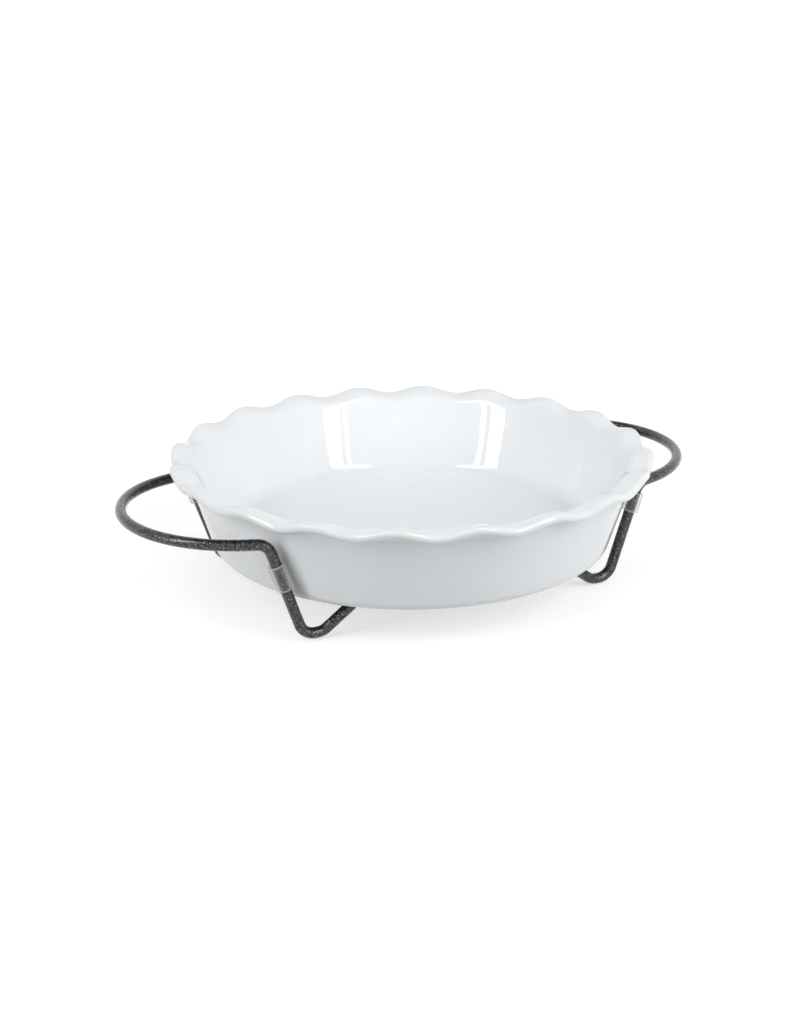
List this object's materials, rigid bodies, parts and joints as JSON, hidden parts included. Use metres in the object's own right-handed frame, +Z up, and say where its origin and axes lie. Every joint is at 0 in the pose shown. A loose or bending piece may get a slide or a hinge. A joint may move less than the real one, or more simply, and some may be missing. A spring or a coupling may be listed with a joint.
{
  "type": "pie dish with wire rack",
  "caption": "Round white porcelain pie dish with a flared ruffled rim, carried in a bent wire rack with loop handles, V-shaped feet and clear bumper sleeves.",
  "frame": {"origin": "on the surface that the rack stands on, under the axis of the dish", "axes": "+X along the line through both loop handles, +Y across the runners towards the rear, +Z up along the axis of the dish"},
  "size_m": [0.3374, 0.2686, 0.074],
  "materials": {
    "porcelain": "white gloss glaze",
    "coated_steel": "dark grey hammered coat with fine bright flecks",
    "clear_vinyl": "clear, slightly cloudy tube with pale cut ends"
  },
  "bodies": {
    "rack": {"rack_wire_left": "coated_steel", "rack_wire_right": "coated_steel", "runner_weld_front": "coated_steel", "runner_weld_rear": "coated_steel"},
    "dish": {"pie_dish": "porcelain"},
    "sleeve_front_left": {"bumper_sleeve_front_left": "clear_vinyl"},
    "sleeve_front_right": {"bumper_sleeve_front_right": "clear_vinyl"},
    "sleeve_rear_left": {"bumper_sleeve_rear_left": "clear_vinyl"},
    "sleeve_rear_right": {"bumper_sleeve_rear_right": "clear_vinyl"}
  },
  "joints": [
    {"name": "dish_lift", "type": "slide", "parent": "rack", "child": "dish", "axis": [0, 0, 1], "range_m": [0, 0.06]},
    {"name": "sleeve_front_left_slide", "type": "slide", "parent": "rack", "child": "sleeve_front_left", "axis": [-0.3228, 0, 0.9465], "range_m": [-0.022, 0.0065]},
    {"name": "sleeve_front_right_slide", "type": "slide", "parent": "rack", "child": "sleeve_front_right", "axis": [0.3228, 0, 0.9465], "range_m": [-0.0325, 0]},
    {"name": "sleeve_rear_left_slide", "type": "slide", "parent": "rack", "child": "sleeve_rear_left", "axis": [-0.3228, 0, 0.9465], "range_m": [-0.0325, 0]},
    {"name": "sleeve_rear_right_slide", "type": "slide", "parent": "rack", "child": "sleeve_rear_right", "axis": [0.3228, 0, 0.9465], "range_m": [-0.0325, 0]}
  ]
}
